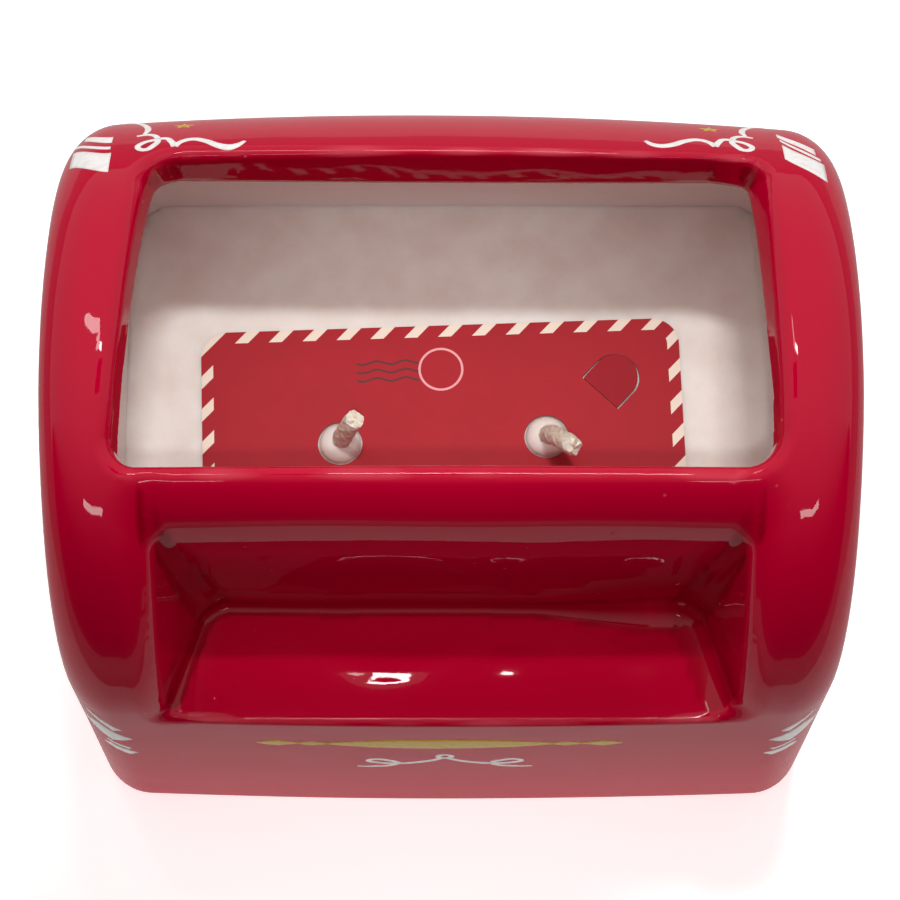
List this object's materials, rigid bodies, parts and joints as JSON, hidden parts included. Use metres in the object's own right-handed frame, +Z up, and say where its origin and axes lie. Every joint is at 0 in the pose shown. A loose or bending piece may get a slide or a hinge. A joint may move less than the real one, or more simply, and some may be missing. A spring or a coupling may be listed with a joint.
{
  "type": "letter box candle",
  "caption": "Red glazed ceramic letter box with an arched top, a blind letter chute and a wide crown opening, filled with wax, with leaning cotton wicks and a loose printed cover card.",
  "frame": {"origin": "middle of the foot on the table", "axes": "+X to the right seen from the front, +Y to the back, +Z up; the chute faces -Y"},
  "size_m": [0.11, 0.088, 0.102],
  "materials": {
    "red_glaze": "deep red gloss glaze outside and over the rim, white glaze inside",
    "cream_wax": "cream poured wax, matt with a faint bloom",
    "cotton": "waxed braided cotton",
    "tinned_sheet": "tinned sheet steel",
    "adhesive_foam": "white adhesive foam",
    "red_card": "matt printed card, red with cream stripes"
  },
  "bodies": {
    "vessel": {"ceramic_body": "red_glaze", "wax_fill": "cream_wax", "wick_left": "cotton", "wick_right": "cotton", "wick_tab_left": "tinned_sheet", "wick_tab_right": "tinned_sheet", "wick_sticker_left": "adhesive_foam", "wick_sticker_right": "adhesive_foam"},
    "card": {"dust_cover": "red_card"},
    "pull": {"lift_tab": "red_card"}
  },
  "joints": [
    {"name": "card_lift", "type": "slide", "parent": "vessel", "child": "card", "axis": [0, 0, 1], "range_m": [0, 0.07], "deforming": ["wick_left", "wick_right"]},
    {"name": "pull_fold", "type": "hinge", "parent": "card", "child": "pull", "pos_m": [0.02186, 0.00721, 0.04955], "axis": [0.7314, -0.682, 0], "range_deg": [-6, 110]}
  ]
}
